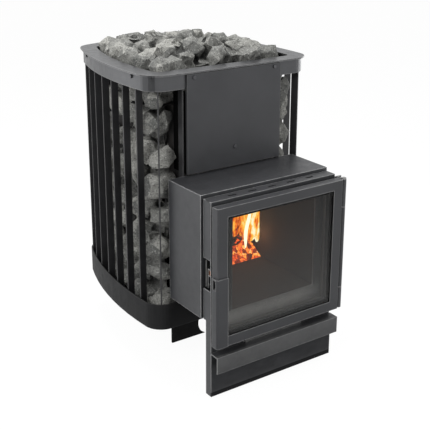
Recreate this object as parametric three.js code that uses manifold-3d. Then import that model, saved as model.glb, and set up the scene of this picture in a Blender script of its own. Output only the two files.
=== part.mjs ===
import * as THREE from "three";
import { mergeVertices } from "three/addons/utils/BufferGeometryUtils.js";
import Module from "manifold-3d";

const wasm = await Module();
wasm.setup();

// Sizes are in millimetres: X to the right seen from the door, Y to the back, Z up.
// The stove stands on z = 0, and the origin is under the middle of its box.
const rimHeight = 800;
const fit = 0.4;
const sheet = 3;

// Stone cage, seen from above: a flat front, bowed sides, a bowed back and rounded corners.
const cageFrontY = -202;
const cageRearY = 329;
const cageHalfWidth = 261;
const cageWidestY = -59;
const sideRadius = 976;
const rearRadius = 575;
const cornerRadius = 60;
const leastRound = 1;
const arcSteps = 9;
const flangeWidth = 45;
const flangeThickness = 4;
const bandInset = 8;
const topBandHeight = 38;
const bottomBandLow = 116;
const bottomBandHigh = 188;
const basePlateThickness = 6;

// Upright flat bars, set edge outwards, the same number on each side.
const barCount = 9;
const barThickness = 4;
const barDepth = 20;
const barEndClear = 17;
const firstBarGap = 7;
const rearPanelHalfWidth = 178;

// Feet under the base plate.
const footHalfWidth = 128;
const footThickness = 6;
const frontFootY = -80;
const rearFootY = 230;
const footCutRadius = 40;
const footCutHeight = 36;

// Firebox, its grate and its flue.
const mouthRim = 10;
const fireboxFrontY = -150;
const fireboxRearY = 215;
const fireboxLow = 206;
const fireboxHigh = 700;
const fireboxWall = 5;
const grateHalfWidth = 85;
const grateFrontY = -95;
const grateRearY = 155;
const grateThickness = 10;
const grateLip = 8;
const grateSlots = 7;
const grateSlotWidth = 10;
const baffleFrontY = -40;
const baffleLow = 556;
const baffleThickness = 6;
const flueRadius = 57.5;
const flueHeight = 632;
const flueSides = 40;

// Fire tunnel between the firebox and the door, with an outer casing.
const casingReach = 3;
const casingLow = 206;
const casingHigh = 531;
const casingFrontY = -337;
const linerInset = 65;
const linerLow = 226;
const linerHigh = 472;
const linerWall = 5;
const linerFlangeWidth = 14;
const casingFold = 40;

// Door surround, a folded tray that stands on the floor in front of the tunnel.
const surroundReveal = 2;
const surroundHigh = 523;
const surroundFrontY = -374;
const surroundUpperRearY = -341;
const surroundLowerRearY = -351;
const windowEase = 1;
const ventCount = 5;
const ventPitch = 61;
const ventLength = 23;
const ventWidth = 5.5;
const ventSetback = 16;

// Door with its glass, seal, hinge and handle plate.
const doorHalfWidth = 197;
const doorLow = 150;
const doorHigh = 515;
const doorFrontY = -405;
const doorDepth = 22;
const doorFace = 4;
const doorCorner = 3;
const doorStile = 30;
const doorLowerRail = 27;
const doorUpperRail = 25;
const glassOverlap = 10;
const glassThickness = 4;
const retainerDepth = 12;
const retainerCover = 9;
const sealWidth = 8;
const handleHigh = 335;
const handleRearY = -385;
const pocketLow = 306;
const pocketHigh = 331;
const pocketDepth = 16;
const pocketWidth = 12;
const hingeReach = 11.5;
const bracketOverlap = 14;
const barrelRadius = 7;
const barrelDrop = 2;
const barrelLowerSeam = 209;
const barrelUpperSeam = 437;
const pinRadius = 3.5;
const pinHeadHeight = 3;
const leafThickness = 5;
const bracketRearY = -353;
const bracketStep = 25;

// Spring catch in the left side of the surround, and the tongue on the door that it holds.
const notchLow = 290;
const notchHigh = 372;
const rollerRadius = 7;
const rollerHeight = 13;
const rollerInset = 12;
const rollerY = -363;
const rollerZ = 335;
const axleRadius = 2.5;
const armHalfWidth = 6;
const armBottom = 293;
const armPivotZ = 300;
const armPinRadius = 3;
const catchPlateReach = 38;
const catchPlateLow = 296;
const catchPlateHigh = 366;
const armSpace = 2;
const tongueClearance = 3.5;
const tongueRearY = -353;
const tongueHalfHeight = 10;
const tongueNose = 0.5;
const tongueNoseLength = 6;
const tongueSlotEase = 4.5;
const strikeBaseHalfHeight = 20;
const strikeInset = 3;

// Ash drawer: a bent front with a hooked lip, and a shallow tray that slides in a duct.
const lipHigh = 125;
const lipLow = 80;
const drawerLow = 3;
const drawerGap = 1;
const trayHalfWidth = 92;
const trayHeight = 22;
const trayWall = 2;
const trayRearY = 110;
const tongueShelfRearY = -345;
const ductSide = 2;
const ductRearY = 165;
const ductRoofLift = 3;

// Front panel above the tunnel, its bracket and the visible screws.
const panelOverhang = 7;
const panelLow = 536;
const panelHigh = 794;
const panelDepth = 6;
const panelScrewInset = 21;
const panelScrewZ = 785;
const lowerScrewZ = 588;
const bracketHalfWidth = 20;
const bracketHalfHeight = 15;
const screwHeadRadius = 5;
const screwHeadHeight = 3;
const screwRadius = 2.5;
const screwSides = 14;
const bandScrewDrop = 9;
const bandScrewGaps = [3, 8];

// Sauna stones round the firebox and heaped on top of it: a few kinds of broken stone, reused.
const stoneKinds = 9;
const stoneLeast = 0.78;
const stoneMost = 1.14;
const stoneRows = 7;
const stoneColumns = 8;
const stoneSize = 56;
const stoneLong = 1.18;
const stoneFlat = 0.8;
const stoneStray = 0.3;
const rowStray = 0.4;
const stoneSetback = 12;
const stoneClearInset = 34;
const stoneCoreReach = 21;
const stoneTopInset = 46;
const heapCount = 46;
const heapSize = 47;
const heapEdge = 30;
const heapSquareness = 0.6;
const heapRise = 62;
const heapFall = 26;
const heapStray = 16;
const guardDepth = 60;
const guardHigh = 750;

// Widths that follow from the door: its window, the surround and tunnel behind it, and the firebox.
const glassOpeningHalfWidth = doorHalfWidth - doorStile;
const glassOpeningLow = doorLow + doorLowerRail;
const glassOpeningHigh = doorHigh - doorUpperRail;
const surroundHalfWidth = doorHalfWidth - surroundReveal;
const casingHalfWidth = doorHalfWidth + casingReach;
const linerHalfWidth = surroundHalfWidth - linerInset;
const fireboxHalfWidth = linerHalfWidth + mouthRim;
const panelHalfWidth = fireboxHalfWidth + panelOverhang;
const panelScrewX = panelHalfWidth - panelScrewInset;
const firstBarX = panelHalfWidth + firstBarGap;
const rollerX = rollerInset - surroundHalfWidth;
const catchPlateInnerX = catchPlateReach - surroundHalfWidth;
const strikeBaseLeftX = strikeInset - doorHalfWidth;
const stoneCoreInset = cageHalfWidth - fireboxHalfWidth - stoneCoreReach;

const finishes = {
  graphite: { color: 0x3a3b3f, roughness: 0.55, metalness: 0.35 },
  black: { color: 0x161617, roughness: 0.6, metalness: 0.3 },
  bareSteel: { color: 0x9a9a98, roughness: 0.35, metalness: 0.9 },
  copper: { color: 0xb0673c, roughness: 0.35, metalness: 0.9 },
  iron: { color: 0x2b2927, roughness: 0.8, metalness: 0.4 },
  glass: { color: 0x30302f, roughness: 0.05, metalness: 0, transparent: true, opacity: 0.45 },
  rope: { color: 0x4a4843, roughness: 0.95, metalness: 0 },
  stone: { color: 0x8b8c86, roughness: 0.9, metalness: 0 },
};

const stove = new THREE.Group();
stove.name = "sauna_heater_stove";

// Turns a three.js geometry into a solid that can be joined and cut.
function solidFrom(geometry) {
  const bare = geometry.clone();
  bare.deleteAttribute("normal");
  bare.deleteAttribute("uv");
  const merged = mergeVertices(bare);
  const triVerts = new Uint32Array(merged.index.array);
  const vertProperties = merged.attributes.position.array;
  return new wasm.Manifold(new wasm.Mesh({ numProp: 3, vertProperties, triVerts }));
}

// Turns a solid back into a three.js geometry.
function geometryFrom(solid) {
  const mesh = solid.getMesh();
  const geometry = new THREE.BufferGeometry();
  geometry.setAttribute("position", new THREE.BufferAttribute(mesh.vertProperties, 3));
  geometry.setIndex(new THREE.BufferAttribute(mesh.triVerts, 1));
  return geometry;
}

function join(...pieces) {
  return geometryFrom(pieces.map(solidFrom).reduce((whole, piece) => whole.add(piece)));
}

function cut(body, ...tools) {
  return geometryFrom(tools.map(solidFrom).reduce((left, tool) => left.subtract(tool), solidFrom(body)));
}

function keep(body, region) {
  return geometryFrom(solidFrom(body).intersect(solidFrom(region)));
}

function add(name, geometry, finish) {
  const shaded = geometry.index ? geometry.toNonIndexed() : geometry;
  shaded.computeVertexNormals();
  const mesh = new THREE.Mesh(shaded, new THREE.MeshStandardMaterial(finishes[finish]));
  mesh.name = name;
  stove.add(mesh);
}

// A block between two limits along each axis.
function block(left, right, front, rear, low, high) {
  const geometry = new THREE.BoxGeometry(right - left, rear - front, high - low);
  return geometry.translate((left + right) / 2, (front + rear) / 2, (low + high) / 2);
}

// A block with the same reach to the left and to the right.
function evenBlock(halfWidth, front, rear, low, high) {
  return block(-halfWidth, halfWidth, front, rear, low, high);
}

// An upright cylinder, and one that lies along Y.
function post(x, y, radius, low, high, sides) {
  const geometry = new THREE.CylinderGeometry(radius, radius, high - low, sides);
  return geometry.rotateX(Math.PI / 2).translate(x, y, (low + high) / 2);
}

function rod(x, z, radius, front, rear, sides) {
  const geometry = new THREE.CylinderGeometry(radius, radius, rear - front, sides);
  return geometry.translate(x, (front + rear) / 2, z);
}

// A flat outline seen from above, raised between two heights.
function raise(outline, low, high) {
  const geometry = new THREE.ExtrudeGeometry(outline, { depth: high - low, bevelEnabled: false });
  return geometry.translate(0, 0, low);
}

const sideCentre = new THREE.Vector2(cageHalfWidth - sideRadius, cageWidestY);
const rearCentre = new THREE.Vector2(0, cageRearY - rearRadius);
const sideReach = sideRadius - cornerRadius;
const rearReach = rearRadius - cornerRadius;
const frontCornerY = cageFrontY + cornerRadius;
const frontCornerX = sideCentre.x + Math.sqrt(sideReach ** 2 - (frontCornerY - sideCentre.y) ** 2);
const frontCorner = new THREE.Vector2(frontCornerX, frontCornerY);
const centreGap = rearCentre.clone().sub(sideCentre);
const centreDistance = centreGap.length();
const alongGap = (sideReach ** 2 - rearReach ** 2 + centreDistance ** 2) / (2 * centreDistance);
const acrossGap = Math.sqrt(sideReach ** 2 - alongGap ** 2);
const gapDirection = centreGap.clone().normalize();
const gapNormal = new THREE.Vector2(-gapDirection.y, gapDirection.x);
const rearCorner = sideCentre
  .clone()
  .addScaledVector(gapDirection, alongGap)
  .addScaledVector(gapNormal, acrossGap);
const quarterTurn = Math.PI / 2;
const frontTangent = frontCorner.clone().sub(sideCentre).angle() - 2 * Math.PI;
const rearTangent = rearCorner.clone().sub(sideCentre).angle();
const backTangent = rearCorner.clone().sub(rearCentre).angle();

function arc(centre, radius, start, end) {
  return new THREE.EllipseCurve(centre.x, centre.y, radius, radius, start, end);
}

// The right half of the cage's outline, moved in by an inset.
function cageArcs(inset) {
  return [
    arc(frontCorner, cornerRadius - inset, -quarterTurn, frontTangent),
    arc(sideCentre, sideRadius - inset, frontTangent, rearTangent),
    arc(rearCorner, cornerRadius - inset, rearTangent, backTangent),
    arc(rearCentre, rearRadius - inset, backTangent, quarterTurn),
  ];
}

// Deep insets leave no corner, so there the sides and the back simply meet.
function cagePlan(inset) {
  const roundInset = Math.min(inset, cornerRadius - leastRound);
  const right = cageArcs(roundInset).flatMap((piece, i) => piece.getPoints(arcSteps).slice(i ? 1 : 0));
  const shrink = (cageHalfWidth - inset) / (cageHalfWidth - roundInset);
  const middleY = (cageFrontY + cageRearY) / 2;
  const scaled = right.map((p) => new THREE.Vector2(p.x * shrink, middleY + (p.y - middleY) * shrink));
  const left = scaled.slice(0, -1).reverse();
  return new THREE.Shape([...scaled, ...left.map((p) => new THREE.Vector2(-p.x, p.y))]);
}

function cageRing(outerInset, innerInset, low, high) {
  return cut(raise(cagePlan(outerInset), low, high), raise(cagePlan(innerInset), low - fit, high + fit));
}

// The line that runs from the first bar round one side to the middle of the back.
function sidePath(inset) {
  const path = new THREE.CurvePath();
  const frontY = cageFrontY + inset;
  const start = new THREE.Vector2(firstBarX, frontY);
  path.add(new THREE.LineCurve(start, new THREE.Vector2(frontCorner.x, frontY)));
  cageArcs(inset).forEach((piece) => path.add(piece));
  return path;
}

// Puts a geometry made at the origin, facing out along -Y, on that line.
function setOnPath(geometry, path, distance, height, side) {
  const share = distance / path.getLength();
  const spot = path.getPoint(share);
  const tangent = path.getTangent(share);
  geometry.rotateZ(side * Math.atan2(tangent.y, tangent.x));
  return geometry.translate(side * spot.x, spot.y, height);
}

const sides = { left: -1, right: 1 };
const flangeLow = rimHeight - flangeThickness;
const topBandLow = flangeLow - topBandHeight;
const bandBackInset = bandInset + sheet;
const barInset = bandBackInset + fit;
const basePlateHigh = bottomBandLow + basePlateThickness;
const bandFrontY = cageFrontY + bandInset;
const panelFrontY = bandFrontY - panelDepth;
const panelBackY = panelFrontY + sheet;

// Base, feet and the cage that holds the stones.
function footPlate(y) {
  const front = y - footThickness / 2;
  const rear = y + footThickness / 2;
  const plate = evenBlock(footHalfWidth, front, rear, 0, bottomBandLow);
  return cut(plate, rod(0, footCutHeight, footCutRadius, front - fit, rear + fit, flueSides));
}

add("base_plate", raise(cagePlan(barInset), bottomBandLow, basePlateHigh), "black");
add("front_foot", footPlate(frontFootY), "black");
add("rear_foot", footPlate(rearFootY), "black");

const ductHalfWidth = trayHalfWidth + ductSide + sheet;
const bottomRing = cageRing(bandInset, bandBackInset, bottomBandLow, bottomBandHigh);
const ductGap = evenBlock(ductHalfWidth + fit, cageFrontY, fireboxFrontY, bottomBandLow - fit, rimHeight);
add("bottom_band", cut(bottomRing, ductGap), "graphite");
add("top_flange", cageRing(0, flangeWidth, flangeLow, rimHeight), "graphite");

// A round-headed screw that points back along Y from a face.
function screw(x, z, faceY, length) {
  const head = rod(x, z, screwHeadRadius, faceY - screwHeadHeight, faceY, screwSides);
  return join(head, rod(x, z, screwRadius, faceY - fit, faceY + length, screwSides));
}

// The bars are spread evenly from the front panel to the rear panel.
const barPath = sidePath(barInset + barDepth / 2);
const barRearRadius = rearRadius - barInset - barDepth / 2;
const rearPanelReach = barRearRadius * Math.asin(rearPanelHalfWidth / barRearRadius);
const barPitch = (barPath.getLength() - rearPanelReach - barEndClear) / (barCount - 1);
const bandPath = sidePath(bandInset);
const screwLength = 2 * sheet;
const holeRadius = screwRadius + fit;
const bandScrewZ = flangeLow - bandScrewDrop;
const bandHoles = [];
for (const [side, sign] of Object.entries(sides)) {
  bandScrewGaps.forEach((gap, i) => {
    const distance = (gap - 1 / 2) * barPitch;
    const hole = rod(0, 0, holeRadius, -screwLength, screwLength, screwSides);
    bandHoles.push(setOnPath(hole, bandPath, distance, bandScrewZ, sign));
    const piece = screw(0, 0, -fit, screwLength);
    const name = "band_screw_" + side + "_" + (i + 1);
    add(name, setOnPath(piece, bandPath, distance, bandScrewZ, sign), "bareSteel");
  });
}
for (const sign of Object.values(sides)) {
  const front = panelFrontY - fit;
  bandHoles.push(rod(sign * panelScrewX, panelScrewZ, holeRadius, front, fireboxFrontY, screwSides));
}
const topRing = cageRing(bandInset, bandBackInset, topBandLow, flangeLow);
add("top_band", cut(topRing, ...bandHoles), "graphite");

for (const [side, sign] of Object.entries(sides)) {
  for (let i = 0; i < barCount; i += 1) {
    const bar = evenBlock(barThickness / 2, -barDepth / 2, barDepth / 2, basePlateHigh, flangeLow);
    add("bar_" + side + "_" + (i + 1), setOnPath(bar, barPath, i * barPitch, 0, sign), "graphite");
  }
}

const flueRearY = sheet + fit - doorFrontY;
const flueBoreRadius = flueRadius - sheet;
const rearRing = cageRing(barInset, barInset + sheet, basePlateHigh, flangeLow);
const rearSpan = evenBlock(rearPanelHalfWidth, fireboxRearY, cageRearY, 0, rimHeight);
const flueHole = rod(0, flueHeight, flueRadius + fit, 0, cageRearY, flueSides);
add("rear_panel", cut(keep(rearRing, rearSpan), flueHole), "graphite");

// Firebox with a mouth at the front, a grate in its floor and a flue at the back.
const fireboxInner = fireboxHalfWidth - fireboxWall;
const fireboxFloor = fireboxLow + fireboxWall;
const grateOpening = grateHalfWidth - grateLip;
const ashFrontY = grateFrontY + grateLip;
const ashRearY = grateRearY - grateLip;
const innerFrontY = fireboxFrontY + fireboxWall;
const innerRearY = fireboxRearY - fireboxWall;
const fireboxRoof = fireboxHigh - fireboxWall;
const mouth = evenBlock(linerHalfWidth, fireboxFrontY - fit, innerFrontY + fit, linerLow, linerHigh);
add(
  "firebox_shell",
  cut(
    evenBlock(fireboxHalfWidth, fireboxFrontY, fireboxRearY, fireboxLow, fireboxHigh),
    evenBlock(fireboxInner, innerFrontY, innerRearY, fireboxFloor, fireboxRoof),
    mouth,
    evenBlock(grateOpening, ashFrontY, ashRearY, fireboxLow - fit, fireboxFloor + fit),
    flueHole,
  ),
  "iron",
);

const grateHigh = fireboxFloor + grateThickness;
const slotPitch = (ashRearY - ashFrontY) / grateSlots;
const slots = [];
for (let i = 0; i < grateSlots; i += 1) {
  const y = ashFrontY + (i + 1 / 2) * slotPitch;
  const front = y - grateSlotWidth / 2;
  slots.push(evenBlock(grateOpening - grateLip, front, front + grateSlotWidth, fireboxLow, rimHeight));
}
const grateSlab = evenBlock(grateHalfWidth, grateFrontY, grateRearY, fireboxFloor, grateHigh);
add("grate", cut(grateSlab, ...slots), "iron");
const baffleHigh = baffleLow + baffleThickness;
const baffle = evenBlock(fireboxInner - fit, baffleFrontY, innerRearY - fit, baffleLow, baffleHigh);
add("flame_baffle", baffle, "iron");
const flueTube = rod(0, flueHeight, flueRadius, innerRearY, flueRearY, flueSides);
const flueBore = rod(0, flueHeight, flueBoreRadius, innerRearY - fit, flueRearY + fit, flueSides);
add("flue_spigot", cut(flueTube, flueBore), "graphite");

// Tunnel: a heavy liner that carries the fire's mouth forward, inside a thin casing.
const surroundBackY = surroundFrontY + sheet;
const casingRearY = cageFrontY + barInset - fit;
const casingInner = casingHalfWidth - sheet;
const linerOuter = linerHalfWidth + linerWall;
const flangeOuter = linerOuter + linerFlangeWidth;
const linerFloor = linerLow - linerWall;
const linerRoof = linerHigh + linerWall;
const linerFlangeLow = linerFloor - linerFlangeWidth;
const linerFlangeHigh = linerRoof + linerFlangeWidth;
const linerFlangeRearY = surroundBackY + sheet;
add(
  "tunnel_liner",
  cut(
    join(
      evenBlock(linerOuter, surroundBackY, fireboxFrontY, linerFloor, linerRoof),
      evenBlock(flangeOuter, surroundBackY, linerFlangeRearY, linerFlangeLow, linerFlangeHigh),
    ),
    evenBlock(linerHalfWidth, surroundBackY - fit, fireboxFrontY + fit, linerLow, linerHigh),
  ),
  "iron",
);

const foldInner = casingHalfWidth - casingFold;
const foldHigh = casingHigh - casingFold;
add(
  "tunnel_casing",
  cut(
    evenBlock(casingHalfWidth, casingFrontY, casingRearY, casingLow, casingHigh),
    evenBlock(casingInner, casingFrontY + sheet, casingRearY + fit, casingLow + sheet, casingHigh - sheet),
    evenBlock(foldInner, casingFrontY - fit, casingFrontY + sheet + fit, linerFloor - fit, foldHigh),
  ),
  "graphite",
);

// Ash duct: open at the top under the grate, roofed under the tunnel.
const shelfLow = lipHigh - sheet;
const trayHigh = lipHigh + trayHeight;
const ductInner = trayHalfWidth + ductSide;
const ductFloor = lipHigh - fit;
const ductRoof = trayHigh + ductRoofLift;
const ductRoofHigh = ductRoof + sheet;
const ductStepY = fireboxFrontY + sheet;
const roofedDuct = evenBlock(ductHalfWidth, surroundBackY, ductStepY, basePlateHigh, ductRoofHigh);
const openDuct = evenBlock(ductHalfWidth, fireboxFrontY, ductRearY, basePlateHigh, fireboxLow);
const ductFrontY = surroundBackY - fit;
add(
  "ash_duct",
  cut(
    join(roofedDuct, openDuct),
    evenBlock(ductInner, ductFrontY, ductStepY + fit, ductFloor, ductRoof),
    evenBlock(ductInner, ductStepY, ductRearY - sheet, ductFloor, fireboxLow + fit),
    evenBlock(ductInner, ductFrontY, tongueShelfRearY + sheet, shelfLow - sheet, ductRoof),
  ),
  "black",
);

// Door surround: one folded sheet with a window, a drawer slot, vents and the catch notch.
const surroundInner = surroundHalfWidth - sheet;
const surroundRoof = surroundHigh - sheet;
const windowHalfWidth = linerHalfWidth + windowEase;
const windowLow = linerLow - windowEase;
const windowHigh = linerHigh + windowEase;
const throughFrontY = surroundFrontY - fit;
const throughBackY = surroundBackY + fit;
const ventY = surroundFrontY + ventSetback;
const vents = [];
for (let i = 0; i < ventCount; i += 1) {
  const x = (i - (ventCount - 1) / 2) * ventPitch;
  const left = x - ventLength / 2;
  const front = ventY - ventWidth / 2;
  const ventLow = surroundRoof - fit;
  vents.push(block(left, left + ventLength, front, front + ventWidth, ventLow, surroundHigh + fit));
}
const tongueLeftX = rollerX + rollerRadius + tongueClearance;
const tongueRightX = tongueLeftX + sheet;
const tongueLow = rollerZ - tongueHalfHeight;
const tongueHigh = rollerZ + tongueHalfHeight;
const tongueSlot = block(
  tongueLeftX - tongueSlotEase,
  tongueRightX + tongueSlotEase,
  throughFrontY,
  throughBackY,
  tongueLow - sheet,
  tongueHigh + sheet,
);
const notchRearY = surroundUpperRearY + fit;
const notchInnerX = -surroundInner + fit;
const catchNotch = block(-casingHalfWidth, notchInnerX, surroundBackY, notchRearY, notchLow, notchHigh);
add(
  "door_surround",
  cut(
    evenBlock(surroundHalfWidth, surroundFrontY, surroundUpperRearY, 0, surroundHigh),
    evenBlock(surroundInner, surroundBackY, surroundUpperRearY + fit, -fit, surroundRoof),
    evenBlock(casingHalfWidth, surroundLowerRearY, surroundUpperRearY + fit, -fit, casingLow),
    evenBlock(windowHalfWidth, throughFrontY, throughBackY, windowLow, windowHigh),
    evenBlock(ductInner, throughFrontY, throughBackY, shelfLow - windowEase, trayHigh + windowEase),
    catchNotch,
    tongueSlot,
    ...vents,
  ),
  "graphite",
);

// Door frame with rounded front edges; the handle plate wraps its lower left edge.
const doorRearY = doorFrontY + doorDepth;
const cornerX = doorHalfWidth - doorCorner;
const cornerY = doorFrontY + doorCorner;
const doorOutline = new THREE.Shape();
doorOutline.moveTo(-doorHalfWidth, doorRearY);
doorOutline.lineTo(-doorHalfWidth, cornerY);
doorOutline.absarc(-cornerX, cornerY, doorCorner, Math.PI, 3 * quarterTurn);
doorOutline.absarc(cornerX, cornerY, doorCorner, 3 * quarterTurn, 2 * Math.PI);
doorOutline.lineTo(doorHalfWidth, doorRearY);
const handleInner = doorCorner + fit;
const handleOuter = handleInner + sheet;
const handleOutline = new THREE.Shape();
handleOutline.moveTo(-cornerX - handleOuter, handleRearY);
handleOutline.lineTo(-cornerX - handleOuter, cornerY);
handleOutline.absarc(-cornerX, cornerY, handleOuter, Math.PI, 3 * quarterTurn);
handleOutline.lineTo(-glassOpeningHalfWidth, cornerY - handleOuter);
handleOutline.lineTo(-glassOpeningHalfWidth, cornerY - handleInner);
handleOutline.absarc(-cornerX, cornerY, handleInner, 3 * quarterTurn, Math.PI, true);
handleOutline.lineTo(-cornerX - handleInner, handleRearY);

const glassFrontY = doorFrontY + doorFace;
const glassRearY = glassFrontY + glassThickness;
const rebateHalfWidth = glassOpeningHalfWidth + glassOverlap;
const rebateLow = glassOpeningLow - glassOverlap;
const rebateHigh = glassOpeningHigh + glassOverlap;
const pocketInnerX = -doorHalfWidth + pocketDepth;
const pocketRearY = glassFrontY + pocketWidth;
const pocketOuterX = -doorHalfWidth - 2 * sheet;
const pocket = block(pocketOuterX, pocketInnerX, glassFrontY, pocketRearY, pocketLow, pocketHigh);
add(
  "door_frame",
  cut(
    raise(doorOutline, doorLow, doorHigh),
    evenBlock(glassOpeningHalfWidth, doorFrontY - fit, doorRearY, glassOpeningLow, glassOpeningHigh),
    evenBlock(rebateHalfWidth, glassFrontY, doorRearY + fit, rebateLow, rebateHigh),
    pocket,
  ),
  "graphite",
);
const paneHalfWidth = rebateHalfWidth - fit;
const paneLow = rebateLow + fit;
const paneHigh = rebateHigh - fit;
add("door_glass", evenBlock(paneHalfWidth, glassFrontY, glassRearY, paneLow, paneHigh), "glass");

// A flat ring round the glass, given by its inner edge, its width and its depth.
function paneRing(inner, width, front, rear) {
  const halfWidth = glassOpeningHalfWidth - inner;
  const low = glassOpeningLow + inner;
  const high = glassOpeningHigh - inner;
  const outer = evenBlock(halfWidth + width, front, rear, low - width, high + width);
  return cut(outer, evenBlock(halfWidth, front - fit, rear + fit, low, high));
}

const retainerRearY = glassRearY + retainerDepth;
const retainerWidth = retainerCover + glassOverlap - fit;
add("glass_retainer", paneRing(retainerCover, retainerWidth, glassRearY, retainerRearY), "black");
add("door_seal", paneRing(retainerCover, sealWidth, retainerRearY, throughFrontY), "rope");
add("door_handle", cut(raise(handleOutline, doorLow, handleHigh), pocket), "graphite");

// Hinge: two fixed barrels, one barrel on the door and a pin through all three.
const hingeX = doorHalfWidth + hingeReach;
const hingeY = doorFrontY + doorDepth / 2;
const barrelLow = doorLow - barrelDrop;
const barrelHigh = doorHigh - barrelDrop;
const boreLow = barrelLow - fit;
const boreHigh = barrelHigh + fit;
const hingeBore = post(hingeX, hingeY, pinRadius + fit, boreLow, boreHigh, flueSides / 2);
const leafFrontY = hingeY - leafThickness / 2;
const leafRearY = hingeY + leafThickness / 2;
const leafLow = barrelLowerSeam + fit;
const leafHigh = barrelUpperSeam - fit;
add(
  "door_hinge_leaf",
  cut(
    join(
      post(hingeX, hingeY, barrelRadius, leafLow, leafHigh, flueSides / 2),
      block(doorHalfWidth, hingeX, leafFrontY, leafRearY, leafLow, leafHigh),
    ),
    hingeBore,
  ),
  "graphite",
);

function hingeBracket(low, high) {
  const webFrontY = hingeY + bracketStep;
  const webRearY = webFrontY + sheet;
  const webLeft = hingeX - leafThickness / 2;
  const webRight = hingeX + leafThickness / 2;
  return cut(
    join(
      post(hingeX, hingeY, barrelRadius, low, high, flueSides / 2),
      block(webLeft, webRight, hingeY, webRearY, low, high),
      block(surroundHalfWidth, hingeX + bracketOverlap, webFrontY, webRearY, low, high),
      block(surroundHalfWidth, surroundHalfWidth + sheet, webFrontY, bracketRearY, low, high),
    ),
    hingeBore,
  );
}

add("hinge_bracket_top", hingeBracket(barrelUpperSeam, barrelHigh), "graphite");
add("hinge_bracket_bottom", hingeBracket(barrelLow, barrelLowerSeam), "graphite");
add(
  "hinge_pin",
  join(
    post(hingeX, hingeY, pinRadius, barrelLow, barrelHigh + sheet, flueSides / 2),
    post(hingeX, hingeY, barrelRadius - fit, barrelHigh, barrelHigh + pinHeadHeight, flueSides / 2),
  ),
  "bareSteel",
);

// Catch: a fixed plate with a pivot pin, an arm with a fork, and a copper roller in the fork.
const armFrontY = rollerY + rollerRadius + armSpace;
const armRearY = armFrontY + sheet;
const plateFrontY = armRearY + armSpace;
const plateRearY = plateFrontY + sheet;
const rollerLow = rollerZ - rollerHeight / 2;
const rollerHigh = rollerZ + rollerHeight / 2;
const armTop = rollerHigh + fit + sheet;
const forkFrontY = rollerY - armHalfWidth;
const armLeft = rollerX - armHalfWidth;
const armRight = rollerX + armHalfWidth;
const catchWebX = catchPlateInnerX - sheet;
add(
  "catch_base",
  join(
    block(notchInnerX, catchPlateInnerX, plateFrontY, plateRearY, catchPlateLow, catchPlateHigh),
    block(catchWebX, catchPlateInnerX, surroundBackY, plateRearY, catchPlateLow, catchPlateHigh),
    rod(rollerX, armPivotZ + fit, armPinRadius, armFrontY - sheet, plateFrontY + fit, screwSides),
  ),
  "bareSteel",
);
add(
  "catch_arm",
  cut(
    join(
      block(armLeft, armRight, armFrontY, armRearY, armBottom, armTop),
      block(armLeft, armRight, forkFrontY, armRearY, rollerHigh + fit, armTop),
      block(armLeft, armRight, forkFrontY, armRearY, rollerLow - fit - sheet, rollerLow - fit),
      post(rollerX, rollerY, axleRadius, rollerLow - sheet, rollerHigh + sheet, screwSides),
    ),
    rod(rollerX, armPivotZ + fit, armPinRadius + fit, armFrontY - fit, armRearY + fit, screwSides),
  ),
  "bareSteel",
);
add(
  "catch_roller",
  cut(
    post(rollerX, rollerY, rollerRadius, rollerLow, rollerHigh, flueSides / 2),
    post(rollerX, rollerY, axleRadius + fit, rollerLow - fit, rollerHigh + fit, screwSides),
  ),
  "copper",
);
const strikeBaseLow = rollerZ - strikeBaseHalfHeight;
const strikeBaseHigh = rollerZ + strikeBaseHalfHeight;
const noseFrontY = tongueRearY - tongueNoseLength;
add(
  "door_strike",
  join(
    block(strikeBaseLeftX, tongueRightX, doorRearY, doorRearY + sheet, strikeBaseLow, strikeBaseHigh),
    block(tongueLeftX, tongueRightX, doorRearY, tongueRearY, tongueLow, tongueHigh),
    block(tongueLeftX - tongueNose, tongueRightX, noseFrontY, tongueRearY, tongueLow, tongueHigh),
  ),
  "bareSteel",
);

// Ash drawer: the front hangs below its hooked lip, and the tray rests on the lip's shelf.
const drawerRearY = surroundFrontY - drawerGap;
const drawerFrontY = drawerRearY - sheet;
add(
  "drawer_front",
  join(
    evenBlock(doorHalfWidth, drawerFrontY, drawerRearY, drawerLow, lipHigh),
    evenBlock(doorHalfWidth, doorFrontY, drawerRearY, shelfLow, lipHigh),
    evenBlock(doorHalfWidth, doorFrontY, doorFrontY + sheet, lipLow, lipHigh),
    evenBlock(trayHalfWidth, drawerFrontY, tongueShelfRearY, shelfLow, lipHigh),
  ),
  "graphite",
);
const trayInner = trayHalfWidth - trayWall;
add(
  "ash_tray",
  cut(
    evenBlock(trayHalfWidth, drawerFrontY, trayRearY, lipHigh, trayHigh),
    evenBlock(trayInner, drawerFrontY + trayWall, trayRearY - trayWall, lipHigh + trayWall, trayHigh + fit),
  ),
  "bareSteel",
);

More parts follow.
